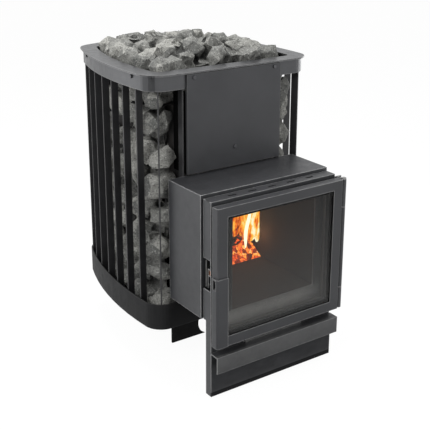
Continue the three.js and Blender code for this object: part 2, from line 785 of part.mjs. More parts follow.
// Front panel: a shallow pan on the top band and on a bracket from the firebox.
// Its sides fold back as guards that keep the stones off the front of the firebox.
const lowerHole = rod(0, lowerScrewZ, holeRadius, panelFrontY - fit, panelBackY + screwLength, screwSides);
const panelRim = panelHalfWidth - sheet;
const panelInside = evenBlock(panelRim, panelBackY, bandFrontY + fit, panelLow + sheet, panelHigh - sheet);
const panelBlock = evenBlock(panelHalfWidth, panelFrontY, bandFrontY, panelLow, panelHigh);
const guardRearY = bandFrontY + guardDepth;
const guardBlock = evenBlock(panelHalfWidth, panelBackY, guardRearY, panelLow, guardHigh);
const guardInside = evenBlock(panelRim, panelBackY - fit, guardRearY + fit, panelLow - fit, guardHigh + fit);
const guards = cut(guardBlock, guardInside);
const panelHoles = [lowerHole];
for (const [side, sign] of Object.entries(sides)) {
  const x = sign * panelScrewX;
  panelHoles.push(rod(x, panelScrewZ, holeRadius, panelFrontY - fit, bandFrontY, screwSides));
  add("panel_screw_" + side, screw(x, panelScrewZ, panelFrontY, panelDepth + sheet), "bareSteel");
}
add("panel_screw_lower", screw(0, lowerScrewZ, panelFrontY, screwLength), "bareSteel");
add("front_panel", cut(join(cut(panelBlock, panelInside), guards), ...panelHoles), "graphite");
const bracketLow = lowerScrewZ - bracketHalfHeight;
const bracketHigh = lowerScrewZ + bracketHalfHeight;
const bracketInner = bracketHalfWidth - sheet;
const bracketFaceY = panelBackY + sheet;
add(
  "panel_bracket",
  cut(
    evenBlock(bracketHalfWidth, panelBackY, fireboxFrontY, bracketLow, bracketHigh),
    evenBlock(bracketInner, bracketFaceY, fireboxFrontY + fit, bracketLow - fit, bracketHigh + fit),
    lowerHole,
  ),
  "iron",
);

// A repeatable scatter between 0 and 1 for the stones.
const scatterStep = 12.9898;
const scatterScale = 43758.5453;
function scatter(seed) {
  const value = Math.sin(seed * scatterStep) * scatterScale;
  return value - Math.floor(value);
}

// A kind of stone: a ball of flat faces whose corners stand out or lie back at random.
const up = new THREE.Vector3(0, 0, 1);
const forward = new THREE.Vector3(0, -1, 0);
function stoneKind(number) {
  const ball = new THREE.IcosahedronGeometry(1, 0);
  ball.deleteAttribute("normal");
  ball.deleteAttribute("uv");
  const rock = mergeVertices(ball);
  const corners = rock.attributes.position;
  const corner = new THREE.Vector3();
  for (let i = 0; i < corners.count; i += 1) {
    const reach = stoneLeast + (stoneMost - stoneLeast) * scatter(number * corners.count + i + 1);
    corner.fromBufferAttribute(corners, i).multiplyScalar(reach);
    corners.setXYZ(i, corner.x, corner.y, corner.z);
  }
  return rock;
}

const kinds = [];
for (let i = 0; i < stoneKinds; i += 1) kinds.push(stoneKind(i));

// One stone at the origin, with its own size and turn.
function turnedStone(seed, size) {
  const stone = kinds[Math.floor(scatter(seed + 1 / 4) * stoneKinds)].clone();
  const own = size * (1 - (1 - stoneFlat) * scatter(seed + 1 / 8));
  stone.scale(own * stoneLong, own, own * stoneFlat);
  stone.rotateX(2 * Math.PI * scatter(seed + 1 / 2));
  return stone.rotateZ(2 * Math.PI * scatter(seed + 3 / 4));
}

// How far a stone at the origin reaches along a direction.
function reachAlong(stone, way) {
  const corners = stone.attributes.position;
  const corner = new THREE.Vector3();
  let most = 0;
  for (let i = 0; i < corners.count; i += 1) {
    most = Math.max(most, corner.fromBufferAttribute(corners, i).dot(way));
  }
  return most;
}

// The outer skin of a pile of stones: hollows sealed inside it are filled and loose crumbs dropped.
function outerSkin(pile) {
  const corners = Array.from(pile.index.array);
  const owner = Array.from({ length: pile.attributes.position.count }, (_, i) => i);
  const skinOf = (corner) => {
    let at = corner;
    while (owner[at] !== at) at = owner[at];
    owner[corner] = at;
    return at;
  };
  for (let i = 0; i < corners.length; i += 3) {
    owner[skinOf(corners[i])] = skinOf(corners[i + 1]);
    owner[skinOf(corners[i + 1])] = skinOf(corners[i + 2]);
  }
  const counts = new Map();
  corners.forEach((corner) => counts.set(skinOf(corner), (counts.get(skinOf(corner)) ?? 0) + 1));
  const largest = [...counts.keys()].reduce((a, b) => (counts.get(a) < counts.get(b) ? b : a));
  return pile.setIndex(corners.filter((corner) => skinOf(corner) === largest));
}

const stonesLow = basePlateHigh + fit;
const stonePitch = (fireboxHigh - stonesLow) / stoneRows;
const stonePath = new THREE.CurvePath();
cageArcs(stoneClearInset).forEach((piece) => stonePath.add(piece));
const stoneFrontY = cageFrontY + stoneClearInset;

// A stone of one row, pushed out against the bars.
function sideStone(seed, row, column, low, sign) {
  const stone = turnedStone(seed, stoneSize);
  const stray = stoneStray * (scatter(seed) - 1 / 2);
  const share = (column + (row % 2) / 2 + stoneStray / 2 + stray) / stoneColumns;
  const spot = stonePath.getPoint(share);
  const tangent = stonePath.getTangent(share);
  const out = new THREE.Vector3(sign * tangent.y, -tangent.x, 0);
  const depth = reachAlong(stone, out) + stoneSetback * scatter(seed + 1 / 5);
  const y = Math.max(spot.y - out.y * depth, stoneFrontY + reachAlong(stone, forward));
  const rise = row + 1 / 2 + rowStray * (scatter(seed + 2 / 5) - 1 / 2);
  return stone.translate(sign * spot.x - out.x * depth, y, low + rise * stonePitch);
}

const heapLow = fireboxHigh + fit;
const heapHigh = flangeLow - fit;
// No stones lie behind the firebox, where the rear panel closes an air shaft.
const fireboxRoom = evenBlock(fireboxHalfWidth + fit, cageFrontY, cageRearY, 0, fireboxHigh + fit);
const guardRoom = evenBlock(panelHalfWidth + fit, cageFrontY, guardRearY + fit, 0, guardHigh + fit);
const heap = [raise(cagePlan(stoneCoreInset), heapLow, heapHigh)];
for (const [side, sign] of Object.entries(sides)) {
  const stones = [raise(cagePlan(stoneCoreInset), stonesLow, fireboxHigh)];
  const firstSeed = 1 + (sign + 1) * stoneRows * stoneColumns;
  for (let row = 0; row <= stoneRows; row += 1) {
    for (let column = 0; column < stoneColumns; column += 1) {
      const seed = firstSeed + row * stoneColumns + column;
      if (row < stoneRows) {
        stones.push(sideStone(seed, row, column, stonesLow, sign));
      } else {
        heap.push(sideStone(seed, 0, column, heapLow, sign));
      }
    }
  }
  const half = evenBlock(cageHalfWidth - fit, cageFrontY, cageRearY, 0, rimHeight);
  half.translate(sign * cageHalfWidth, 0, 0);
  const allowed = keep(raise(cagePlan(stoneClearInset), stonesLow, fireboxHigh), half);
  const pile = cut(keep(join(...stones), allowed), fireboxRoom, guardRoom);
  add("stones_" + side, outerSkin(pile), "stone");
}

const goldenAngle = Math.PI * (3 - Math.sqrt(5));
const squared = (share) => Math.sign(share) * Math.abs(share) ** heapSquareness;
const heapMiddleY = (cageFrontY + cageRearY) / 2;
const heapReachY = cageRearY - heapMiddleY - stoneTopInset - heapEdge;
for (let i = 0; i < heapCount; i += 1) {
  const seed = -1 - i;
  const stone = turnedStone(seed, heapSize);
  const ring = Math.sqrt((i + 1 / 2) / heapCount);
  const across = squared(Math.cos(i * goldenAngle));
  const y = heapMiddleY + ring * heapReachY * squared(Math.sin(i * goldenAngle));
  const halfWidth = sideCentre.x + Math.sqrt(sideRadius ** 2 - (y - cageWidestY) ** 2);
  const x = ring * (halfWidth - stoneTopInset - heapEdge) * across;
  const top = rimHeight + heapRise - heapFall * ring ** 2 - heapStray * scatter(seed);
  heap.push(stone.translate(x, y, top - reachAlong(stone, up)));
}
const heapRoom = join(
  raise(cagePlan(stoneClearInset), heapLow, heapHigh),
  raise(cagePlan(stoneTopInset), heapLow, 2 * rimHeight),
);
add("stones_top", outerSkin(cut(keep(join(...heap), heapRoom), fireboxRoom, guardRoom)), "stone");

export default stove;
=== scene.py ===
import math
import random

import bpy
from mathutils import Matrix, Vector


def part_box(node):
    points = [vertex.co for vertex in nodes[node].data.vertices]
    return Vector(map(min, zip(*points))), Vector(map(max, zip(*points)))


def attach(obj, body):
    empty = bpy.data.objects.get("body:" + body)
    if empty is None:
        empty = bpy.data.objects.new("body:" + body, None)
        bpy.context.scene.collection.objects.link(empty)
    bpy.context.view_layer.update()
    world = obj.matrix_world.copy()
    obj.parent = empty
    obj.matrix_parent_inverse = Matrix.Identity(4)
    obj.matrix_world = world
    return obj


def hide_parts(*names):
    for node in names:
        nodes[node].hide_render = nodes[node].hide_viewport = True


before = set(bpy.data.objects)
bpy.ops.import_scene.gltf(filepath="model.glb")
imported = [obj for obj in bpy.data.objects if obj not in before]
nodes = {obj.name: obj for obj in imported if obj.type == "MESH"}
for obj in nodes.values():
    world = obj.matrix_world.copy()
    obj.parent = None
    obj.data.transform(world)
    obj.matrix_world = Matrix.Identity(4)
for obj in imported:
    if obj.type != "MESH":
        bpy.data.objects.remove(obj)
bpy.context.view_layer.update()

# The studio: a pale floor in an even white surround, five soft lamps, and two dark cards that show
# only in the sheen of the steel. The camera stands left of the door, a little above the rim.
scene = bpy.context.scene
scene.view_settings.view_transform = "Standard"


class Value:
    """A socket of a shader node that can be used in sums."""

    def __init__(self, finish, socket):
        self.finish = finish
        self.socket = socket

    def work(self, operation, first, second):
        return self.finish.node("Math", {"operation": operation}, {0: first, 1: second})

    def __add__(self, other):
        return self.work("ADD", self, other)

    def __radd__(self, other):
        return self.work("ADD", other, self)

    def __sub__(self, other):
        return self.work("SUBTRACT", self, other)

    def __rsub__(self, other):
        return self.work("SUBTRACT", other, self)

    def __mul__(self, other):
        return self.work("MULTIPLY", self, other)

    def __rmul__(self, other):
        return self.work("MULTIPLY", other, self)

    def __abs__(self):
        return self.finish.node("Math", {"operation": "ABSOLUTE"}, {0: self})


class Finish:
    """One material, built from nodes on the piece's own coordinates."""

    def __init__(self, name, world=None):
        self.owner = world or bpy.data.materials.new(name)
        self.owner.use_nodes = True
        self.tree = self.owner.node_tree
        self.tree.nodes.clear()

    def join(self, value, socket):
        if isinstance(value, Value):
            self.tree.links.new(value.socket, socket)
        else:
            socket.default_value = value

    def node(self, kind, settings=None, inputs=None, output=0):
        made = self.tree.nodes.new("ShaderNode" + kind)
        for key, value in (settings or {}).items():
            if key == "stops":
                ramp = made.color_ramp
                while len(ramp.elements) < len(value):
                    ramp.elements.new(1)
                for element, (place, colour) in zip(ramp.elements, value):
                    element.position = place
                    element.color = (*colour, 1)
            else:
                setattr(made, key, value)
        for key, value in (inputs or {}).items():
            self.join(value, made.inputs[key])
        return Value(self, made.outputs[output]) if made.outputs else None

    def place(self):
        return self.node("TexCoord", output=3)

    def noise(self, scale, detail=4.0, roughness=0.55, place=None):
        return self.node("TexNoise", None, {
            "Vector": place or self.place(), "Scale": scale,
            "Detail": detail, "Roughness": roughness})

    def cells(self, scale, feature="F1", output=0):
        return self.node("TexVoronoi", {"feature": feature},
                         {"Vector": self.place(), "Scale": scale}, output)

    def span(self, value, low, high, to_low=0.0, to_high=1.0):
        """Maps low..high to to_low..to_high, and stops at both ends."""
        return self.node("MapRange", None, {0: value, 1: low, 2: high, 3: to_low, 4: to_high})

    def blend(self, share, first, second):
        colours = [c if isinstance(c, Value) else (*c, 1) for c in (first, second)]
        return self.node("Mix", {"data_type": "RGBA"}, {0: share, 6: colours[0], 7: colours[1]}, 2)

    def bump(self, height, strength, distance):
        return self.node("Bump", None, {
            "Strength": strength, "Distance": distance, "Height": height})

    def axis(self, number):
        return self.node("SeparateXYZ", None, {0: self.place()}, number)

    def edges(self):
        """1 along sharp edges and 0 on open faces."""
        reach = 0.0034
        soft = self.node("Bevel", {"samples": 6}, {"Radius": reach})
        flat = self.node("NewGeometry", output=1)
        alike = self.node("VectorMath", {"operation": "DOT_PRODUCT"}, {0: soft, 1: flat}, 1)
        return self.span(alike, 0.985, 0.90)

    def shader(self, **inputs):
        named = {key.replace("_", " "): value for key, value in inputs.items()}
        return self.node("BsdfPrincipled", None, named)

    def show(self, shader):
        kind = "OutputWorld" if isinstance(self.owner, bpy.types.World) else "OutputMaterial"
        self.node(kind, None, {"Surface": shader})
        return self.owner


def seen_directly(finish):
    """1 where the eye, a mirror or a pane looks at the surround, and 0 where it only lights."""
    path = finish.tree.nodes.new("ShaderNodeLightPath")
    camera_ray, glossy_ray, clear_ray = (
        Value(finish, path.outputs[name])
        for name in ("Is Camera Ray", "Is Glossy Ray", "Is Transmission Ray"))
    return camera_ray + glossy_ray + clear_ray


surround_level = 0.46
surround = Finish("surround", bpy.data.worlds.new("surround"))
scene.world = surround.owner
lit = surround.span(seen_directly(surround), 0, 1, surround_level, 1.0)
surround.show(surround.node("Background", None, {"Color": (1, 1, 1, 1), "Strength": lit}))

floor_half = 40.0
floor_drop = 0.0005
floor_glow = 1.06
floor_glow_share = 0.90
bpy.ops.object.select_all(action="DESELECT")
bpy.ops.mesh.primitive_plane_add(size=2 * floor_half, location=(0, 0, -floor_drop))
floor = bpy.context.object
floor.name = "studio_floor"
pale = Finish("pale_floor")
matte = pale.node("BsdfDiffuse", None, {"Color": (0.62, 0.62, 0.62, 1)})
white = pale.node("Emission", None, {"Color": (1, 1, 1, 1), "Strength": floor_glow})
glowing = pale.span(seen_directly(pale), 0, 1, 0.0, floor_glow_share)
floor_mix = pale.node("MixShader", None, {0: glowing, 1: matte, 2: white})
floor.data.materials.append(pale.show(floor_mix))


def studio_lamp(name, place, target, width, power):
    bpy.ops.object.light_add(type="AREA", location=place)
    lamp = bpy.context.object
    lamp.name = name
    lamp.data.size = width
    lamp.data.energy = power
    aim = Vector(target) - Vector(place)
    lamp.rotation_euler = aim.to_track_quat("-Z", "Y").to_euler()


studio_lamp("lamp_left", (-2.6, -0.9, 2.3), (0, 0, 0.45), 1.6, 58)
studio_lamp("lamp_front", (1.2, -3.0, 2.2), (0, 0, 0.4), 1.8, 30)
studio_lamp("lamp_above", (0.1, 0.6, 2.5), (0, 0, 0.8), 1.1, 34)
studio_lamp("lamp_low_left", (-1.26, 1.2, 0.35), (-0.2, 0.0, 0.6), 0.9, 3)
studio_lamp("lamp_low_right", (1.6, 0.1, 0.4), (0.2, -0.1, 0.5), 0.8, 5)


def studio_card(name, place, facing, width, height):
    """A dark card that only shows in the sheen of the coated steel."""
    bpy.ops.object.select_all(action="DESELECT")
    bpy.ops.mesh.primitive_plane_add(size=1)
    card = bpy.context.object
    card.name = name
    turn = Vector(facing).to_track_quat("Z", "Y").to_matrix().to_4x4()
    size = Matrix.Diagonal((width, height, 1, 1))
    card.data.transform(Matrix.Translation(place) @ turn @ size)
    dark = Finish("dark_card")
    black = dark.node("BsdfDiffuse", None, {"Color": (0.01, 0.01, 0.01, 1)})
    card.data.materials.append(dark.show(black))
    for ray in ("camera", "diffuse", "transmission", "shadow"):
        setattr(card, "visible_" + ray, False)


studio_card("corner_card", (-1.19, -0.67, 0.5), (0.89, 0.45, 0), 0.60, 1.0)
studio_card("floor_card", (0.0, -0.475, 0.001), (0, 0, 1), 0.8, 0.15)

camera_place = Vector((-1.2960, -1.9860, 1.2299))
camera_turn, camera_dip, camera_roll = (math.radians(a) for a in (-34.607, 17.067, 0.077))
backward = Vector((math.sin(camera_turn) * math.cos(camera_dip),
                   -math.cos(camera_turn) * math.cos(camera_dip), math.sin(camera_dip)))
level = Vector((math.cos(camera_turn), math.sin(camera_turn), 0))
upright = backward.cross(level)
rightward = level * math.cos(camera_roll) + upright * math.sin(camera_roll)
upward = upright * math.cos(camera_roll) - level * math.sin(camera_roll)
bpy.ops.object.camera_add()
camera = bpy.context.object
camera.data.sensor_width = 36
camera.data.lens = 73.64
camera.data.shift_y = -0.13
turned = Matrix((rightward, upward, backward)).transposed().to_4x4()
camera.matrix_world = Matrix.Translation(camera_place) @ turned
scene.camera = camera


# Rim: a flat ring on top of the cage and the rolled band that it is welded to, both of sheet steel.
# They are powder-coated in a paler satin graphite than the rest, with softly rounded folds.
def coat(name, dark, pale_tone, gloss, metal=0.25, edge=0.10, dulling_and_painted_shade=None, painted_light=None):
    """Powder coat with a cloudy tone and a fine grain, edges paler from wear and a painted
    highlight, dulled by black that can paint shade, and given painted light where asked.
    """
    finish = Finish(name)
    cloud = finish.noise(9, 5, 0.6)
    speck = finish.noise(900, 2, 0.5)
    wear = finish.noise(46, 6, 0.65)
    tone = finish.span(cloud * 0.7 + wear * 0.3, 0.35, 0.65)
    tint = finish.blend(tone, dark, pale_tone)
    dusty = finish.span(speck, 0.62, 0.8, 0, 0.35)
    tint = finish.blend(dusty, tint, tuple(c * 1.8 for c in pale_tone))
    # Paler edges: partly wear, partly a painted highlight along the folds.
    worn_and_highlit_edges = finish.edges() * finish.span(wear, 0.3, 0.6, 0.5, 1.0)
    tint = finish.blend(worn_and_highlit_edges, tint, (edge, edge, edge))
    # Painted light: a paler grey laid on where a mask asks for it.
    if painted_light:
        painted_light_share = painted_light(finish) * finish.span(wear, 0.3, 0.6, 0.7, 1.0)
        tint = finish.blend(painted_light_share, tint, (0.18, 0.18, 0.177))
    rough = finish.span(wear, 0.3, 0.7, gloss - 0.06, gloss + 0.1)
    skin = finish.bump(speck, 0.16, 0.0006)
    steel = finish.shader(Base_Color=tint, Roughness=rough, Metallic=metal, Normal=skin)
    # A share of flat black dulls the coat evenly; given a mask, it paints shade and darkens chosen
    # parts.
    if dulling_and_painted_shade:
        black = finish.node("BsdfDiffuse", None, {"Color": (0.004, 0.004, 0.004, 1)})
        share = dulling_and_painted_shade(finish) if callable(dulling_and_painted_shade) else dulling_and_painted_shade
        steel = finish.node("MixShader", None, {0: share, 1: steel, 2: black})
    return finish.show(steel)


def dress(finish, names, fold=0.0007):
    """Gives CAD pieces their finish, and rounds their folds a little where they have any."""
    for name in names:
        piece = nodes[name]
        for place in piece.material_slots:
            place.material = finish
        if fold:
            weld = piece.modifiers.new("weld", "WELD")
            weld.merge_threshold = 0.00001
            rounded = piece.modifiers.new("fold", "BEVEL")
            rounded.width = fold
            rounded.segments = 2
            rounded.limit_method = "ANGLE"
            rounded.angle_limit = math.radians(40)
            rounded.harden_normals = True


rim_coat = coat("satin_rim", (0.084, 0.086, 0.090), (0.102, 0.103, 0.108), 0.33,
                metal=0.75, edge=0.25, dulling_and_painted_shade=0.12)
dress(rim_coat, ["top_flange", "top_band"])

# Cage: flat bars welded upright inside the two bands, edge outwards, a matt hoop round their feet,
# and a bowed panel at the back with the flue's socket. All are steel coated in dark graphite.
bars = [name for name in nodes if name.startswith("bar_")]
bar_coat = coat("graphite_bars", (0.010, 0.010, 0.011), (0.016, 0.016, 0.018), 0.46)
dress(bar_coat, bars)
hoop_coat = coat("graphite_hoop", (0.012, 0.0125, 0.014), (0.018, 0.0185, 0.020), 0.44, dulling_and_painted_shade=0.55)
dress(hoop_coat, ["bottom_band"])
cage_coat = coat("graphite_cage", (0.030, 0.031, 0.034), (0.042, 0.043, 0.047), 0.40)
dress(cage_coat, ["rear_panel", "flue_spigot"])


# Front panel: one flat sheet above the tunnel, held by three screws. The guards that are folded
# back behind its sides are painted black as shade, out of the light.
def panel_guard_shade(finish):
    # Painted shade: the guards behind the panel's sides are made black.
    guard_front, guard_full = -0.1930, -0.1925
    return finish.span(finish.axis(1), guard_front, guard_full)


panel_coat = coat("graphite_panel", (0.034, 0.035, 0.038), (0.044, 0.045, 0.049), 0.42,
                  dulling_and_painted_shade=panel_guard_shade)
dress(panel_coat, ["front_panel"])

# Tunnel casing: a sheet sleeve folded round the fire tunnel, folds bright by wear and painted
# highlight.
# The fixed halves of the door's hinge barrel are welded to the surround beside it and coated alike.
body_coat = coat("graphite_body", (0.034, 0.035, 0.038), (0.044, 0.045, 0.049), 0.42, edge=0.50)
dress(body_coat, ["tunnel_casing", "hinge_bracket_top", "hinge_bracket_bottom"])


# Door surround: a folded sheet tray with a window and a row of vents, which stands on the floor in
# front of the tunnel. Its vents and its face behind the pane get painted shade, its sill painted
# light.
def surround_face(finish):
    """1 on the front face of the surround and 0 behind it."""
    return finish.span(finish.axis(1), -0.3725, -0.3735)


def surround_painted_shade(finish):
    # Painted shade: the vents' walls and the face behind the pane above the sill are blackened.
    vent_row = (finish.span(finish.axis(1), -0.3665, -0.3660)
                * finish.span(finish.axis(1), -0.3505, -0.3510))
    vents = finish.edges() * vent_row * finish.span(finish.axis(2), 0.5180, 0.5190)
    behind_pane = finish.span(abs(finish.axis(0)), 0.1685, 0.1680)
    height = (finish.span(finish.axis(2), 0.205, 0.250, 0.0, 0.72)
              * finish.span(finish.axis(2), 0.4920, 0.4910))
    return vents + behind_pane * height * surround_face(finish)


def sill_painted_light(finish):
    # Painted light: the face under the window, behind the pane, is made paler.
    across = finish.span(finish.axis(0), 0.165, 0.090) * finish.span(finish.axis(0), -0.168, -0.166)
    height = finish.span(finish.axis(2), 0.226, 0.2245) * finish.span(finish.axis(2), 0.160, 0.165)
    return across * height * surround_face(finish)


tray_coat = coat("graphite_tray", (0.034, 0.035, 0.038), (0.044, 0.045, 0.049), 0.42,
                 edge=0.42, dulling_and_painted_shade=surround_painted_shade, painted_light=sill_painted_light)
dress(tray_coat, ["door_surround"])


# Door: a frame of folded sheet with a handle plate wrapped round its lower left side and a hinge
# leaf at its right, welded and coated together. The inner walls of its window are made near black.
def window_walls(finish):
    middle_z, half_z = 0.3335, 0.1565
    inside_x = finish.span(abs(finish.axis(0)), 0.1685, 0.1680)
    inside_z = finish.span(abs(finish.axis(2) - middle_z), half_z + 0.0015, half_z + 0.001)
    return inside_x * inside_z * finish.span(finish.axis(1), -0.4045, -0.4040)


plate_fold = 0.0011
door_coat = coat("graphite_door", (0.027, 0.028, 0.031), (0.036, 0.037, 0.041), 0.40,
                 edge=0.26, dulling_and_painted_shade=window_walls)
dress(door_coat, ["door_frame", "door_handle", "door_hinge_leaf"], plate_fold)


# Ash drawer's front: one bent sheet with a hooked lip to pull it by, made paler there as painted
# light.
# It is darkened towards the floor as painted shade, and its lowest 15 mm are made darker still.
def drawer_lip_painted_light(finish):
    # Painted light: the hooked lip is made paler.
    lip_reach = finish.span(finish.axis(1), -0.3950, -0.3960)
    return lip_reach * finish.span(finish.axis(2), 0.079, 0.080, 0.0, 0.34)


def drawer_painted_shade_and_strip(finish):
    # Painted shade darkens the front towards the floor; its lowest 15 mm are made darker still.
    painted_shade_to_floor = finish.span(finish.axis(2), 0.040, 0.018, 0.0, 0.2)
    return painted_shade_to_floor + finish.span(finish.axis(2), 0.0155, 0.0145, 0.0, 0.6)


drawer_coat = coat("graphite_drawer", (0.037, 0.038, 0.041), (0.049, 0.050, 0.054), 0.40,
                   edge=0.26, dulling_and_painted_shade=drawer_painted_shade_and_strip, painted_light=drawer_lip_painted_light)
dress(drawer_coat, ["drawer_front"], plate_fold)

# Base: a plate on two upright feet, with the duct that the ash drawer slides in, and the ring that
# holds the pane in the door. They are sheet steel in a dull black coat.
black_coat = coat("matt_black", (0.006, 0.006, 0.006), (0.011, 0.011, 0.012), 0.55,
                  edge=0.05, dulling_and_painted_shade=0.75)
dress(black_coat, ["base_plate", "front_foot", "rear_foot", "ash_duct", "glass_retainer"])


# Heavy fire parts: firebox, tunnel liner, grate, flame baffle and panel bracket are plain iron and
# steel, dull with scale, brown where the heat has been and grey with soot and ash.
def fire_iron(name, roughness, warmth):
    finish = Finish(name)
    patch = finish.noise(17, 6, 0.62)
    scale = finish.noise(160, 4, 0.6)
    rust = finish.span(patch, 0.42, 0.62, 0, warmth)
    tint = finish.blend(rust, (0.019, 0.019, 0.019), (0.052, 0.032, 0.020))
    flaked = finish.span(scale, 0.5, 0.75, 0, 0.5 * roughness)
    tint = finish.blend(flaked, tint, (0.075, 0.068, 0.060))
    rough = finish.span(scale, 0.3, 0.7, 0.7, 0.92)
    return finish.show(finish.shader(Base_Color=tint, Roughness=rough, Metallic=0.2,
                                     Normal=finish.bump(scale, 0.5 * roughness, 0.0015)))


dress(fire_iron("fire_iron_scale", 1.0, 0.35),
      ["firebox_shell", "grate", "flame_baffle", "panel_bracket"], 0)
dress(fire_iron("sooty_liner", 0.15, 0.2), ["tunnel_liner"], 0)


# Small metal parts: dark screws, a zinc-plated hinge pin, catch and door tongue, a plain steel ash
# tray, and the copper roller of the catch. They are turned or bent, and keep fine brushed lines.
def bare_metal(name, dark, bright, gloss):
    finish = Finish(name)
    brushed = finish.node("Mapping", None, {"Vector": finish.place(), "Scale": (1.0, 1.0, 0.06)})
    lines = finish.noise(700, 3, 0.6, brushed)
    stain = finish.noise(60, 5, 0.6)
    tint = finish.blend(finish.span(stain * 0.6 + lines * 0.4, 0.35, 0.65), dark, bright)
    rough = finish.span(lines, 0.3, 0.7, gloss - 0.08, gloss + 0.12)
    return finish.show(finish.shader(Base_Color=tint, Roughness=rough, Metallic=1.0,
                                     Normal=finish.bump(lines, 0.1, 0.0004)))


screws = [name for name in nodes if "screw" in name]
thin_fold = 0.0004
turned_edge = 0.0008
dress(bare_metal("zinc_plate", (0.20, 0.20, 0.20), (0.34, 0.34, 0.33), 0.36),
      ["hinge_pin", "catch_base", "catch_arm", "door_strike", "ash_tray"], thin_fold)
dress(bare_metal("dark_screw", (0.06, 0.06, 0.065), (0.12, 0.12, 0.125), 0.34),
      screws, turned_edge)
dress(bare_metal("copper", (0.36, 0.13, 0.06), (0.62, 0.27, 0.13), 0.30),
      ["catch_roller"], turned_edge)


# Door seal: a braided glass-fibre rope, glued round the back of the glass's ring. It is pressed
# against the surround when the door is shut, and is grey with soot.
def seal_rope():
    finish = Finish("braided_rope")
    strand = finish.node("TexWave", {"wave_type": "BANDS", "bands_direction": "DIAGONAL"}, {
        "Vector": finish.place(), "Scale": 130.0, "Distortion": 3.0, "Detail": 2.0})
    fuzz = finish.noise(500, 3, 0.6)
    tint = finish.blend(strand * 0.7 + fuzz * 0.3, (0.030, 0.029, 0.027), (0.105, 0.10, 0.092))
    return finish.show(finish.shader(Base_Color=tint, Roughness=0.95,
                                     Normal=finish.bump(strand, 0.6, 0.002)))


dress(seal_rope(), ["door_seal"], 0)


# The pane is heat-proof glass, held behind the door's window by a ring. It is clear at the top and
# misted by ash and soot towards the bottom.
def fire_glass():
    finish = Finish("misted_glass")
    low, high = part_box("door_glass")
    drop = finish.span(finish.axis(2), high[2], low[2])
    streak = finish.noise(14, 5, 0.6)
    mist = finish.span(drop + streak * 0.35 - 0.17, 0.05, 1.0, 0.022, 0.070)
    clear = finish.node("BsdfTransparent", None, {"Color": (0.90, 0.90, 0.89, 1)})
    film = finish.node("BsdfDiffuse", None, {"Color": (0.48, 0.48, 0.475, 1)})
    veil = finish.node("MixShader", None, {0: mist, 1: clear, 2: film})
    shine = finish.node("BsdfGlossy", None, {"Color": (1, 1, 1, 1), "Roughness": 0.03})
    glancing = finish.node("Fresnel", None, {"IOR": 1.13})
    return finish.show(finish.node("MixShader", None, {0: glancing, 1: veil, 2: shine}))


dress(fire_glass(), ["door_glass"], 0)


# Sauna stones: broken grey rock with sharp faces and worn edges, about 70 to 110 mm across. They
# lie loose, packed between the bars and the firebox and heaped above the rim, with smaller ones
# wedged into the gaps at the right front corner and along the heap's sides.
def stone_finish():
    finish = Finish("sauna_rock")
    shade = finish.node("SeparateColor", None, {0: finish.cells(13.0, output=1)})
    lump = finish.noise(26, 5, 0.65)
    grain = finish.noise(190, 3, 0.7)
    speck = finish.noise(300, 2, 0.5)
    vein = finish.noise(75, 7, 0.72)
    chip = finish.cells(44.0)
    tone = finish.span(shade * 0.55 + lump * 0.45, 0.25, 0.75)
    tint = finish.blend(tone, (0.108, 0.110, 0.104), (0.320, 0.318, 0.294))
    tint = finish.blend(finish.span(vein, 0.52, 0.68, 0, 0.75), tint, (0.060, 0.062, 0.060))
    tint = finish.blend(finish.span(grain, 0.54, 0.70, 0, 0.70), tint, (0.54, 0.54, 0.51))
    tint = finish.blend(finish.span(speck, 0.56, 0.66, 0, 0.85), tint, (0.040, 0.041, 0.039))
    # Painted shade: ambient occlusion darkens the crevices between the stones.
    painted_crevice_shade = finish.node("AmbientOcclusion", {"samples": 8}, {"Distance": 0.034}, 1)
    tint = finish.blend(finish.span(painted_crevice_shade, 0.32, 0.85), (0.008, 0.008, 0.008), tint)
    height = grain * 0.3 + vein * 0.4 + speck * 0.15 + chip * 0.6
    rough = finish.span(grain, 0.3, 0.7, 0.72, 0.95)
    return finish.show(finish.shader(Base_Color=tint, Roughness=rough,
                                     Normal=finish.bump(height, 0.9, 0.005)))


def deepen_seams(mesh, depth):
    """Sinks the corners along the hollow edges, where two stones of a pile meet."""
    least_rise = 0.12
    beside = {}
    for face in mesh.polygons:
        for edge in face.edge_keys:
            beside.setdefault(edge, []).append(face)
    seams = set()
    for edge, faces in beside.items():
        rise = (faces[-1].center - faces[0].center).normalized().dot(faces[0].normal)
        if len(faces) == 2 and rise > least_rise:
            seams.update(edge)
    hollows = [(mesh.vertices[i], mesh.vertices[i].normal.copy()) for i in seams]
    for corner, outward in hollows:
        corner.co -= outward * depth


def wedge_stone(pile, x, y, z, size, tall):
    """Joins one small stone to a pile, turned by its place so that no two look alike."""
    bpy.ops.object.select_all(action="DESELECT")
    bpy.ops.mesh.primitive_ico_sphere_add(subdivisions=1, radius=size)
    small = bpy.context.object
    turn = Matrix.Rotation(40 * z, 4, "Z") @ Matrix.Rotation(30 * (x + y), 4, "X")
    squeeze = Matrix.Diagonal((1.0, 0.85, tall, 1))
    small.data.transform(Matrix.Translation((x, y, z)) @ squeeze @ turn)
    pile.select_set(True)
    bpy.context.view_layer.objects.active = pile
    bpy.ops.object.join()


